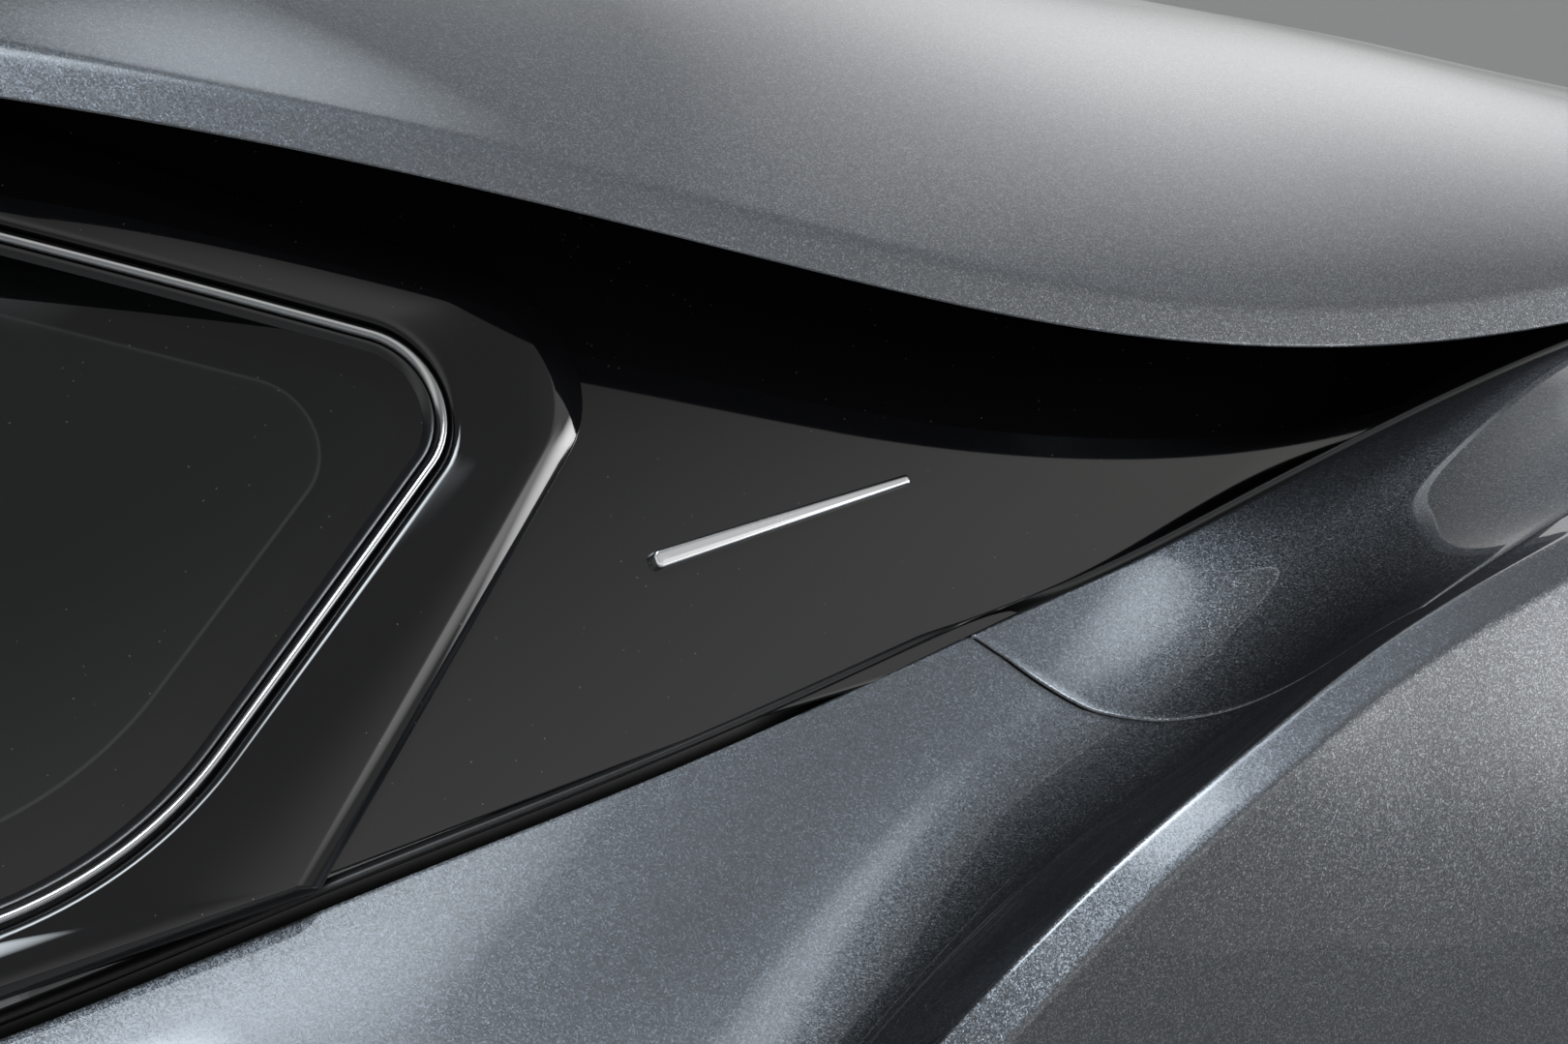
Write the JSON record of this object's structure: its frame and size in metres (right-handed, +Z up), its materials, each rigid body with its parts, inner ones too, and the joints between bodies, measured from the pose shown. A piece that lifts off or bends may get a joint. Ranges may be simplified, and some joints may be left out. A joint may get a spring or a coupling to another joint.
{
  "type": "rear quarter section of a coupe car body",
  "caption": "Left rear quarter of a coupe body: flying roof buttress over a gloss black pillar panel, fixed quarter window, crested shoulder, wheel arch and inner structure.",
  "frame": {"origin": "centre of the four body bolts on the inboard face of the wheelhouse plate, straight above the wheel centre", "axes": "+X rearward along the car, +Y inboard, +Z up; the outboard side faces -Y"},
  "size_m": [1.18, 0.4695, 1.098],
  "materials": {
    "body_paint": "dark grey metallic with clear coat",
    "gloss_black": "piano black",
    "bright_trim": "satin bright",
    "rubber_seal": "matt black",
    "tinted_glass": "dark privacy tint",
    "inner_steel": "grey primer on pressed steel",
    "liner_plastic": "matt black"
  },
  "bodies": {
    "root": {"fender_skin": "body_paint", "rear_channel_panel": "body_paint", "buttress_skin": "body_paint", "buttress_liner": "gloss_black", "c_pillar_panel": "gloss_black", "window_frame": "gloss_black", "channel_floor": "gloss_black", "frame_bead": "bright_trim", "accent_bar": "bright_trim", "window_seal": "rubber_seal", "belt_seal": "rubber_seal", "glass_bond": "rubber_seal", "quarter_glass": "tinted_glass", "c_pillar_carrier": "inner_steel", "belt_rail": "inner_steel", "roof_rail": "inner_steel", "b_pillar": "inner_steel", "c_pillar_brace": "inner_steel", "shelf_panel": "inner_steel", "wheelhouse_plate": "inner_steel", "front_bulkhead": "inner_steel", "sill_section": "inner_steel", "rear_post": "inner_steel", "arch_liner": "liner_plastic"}
  },
  "joints": []
}
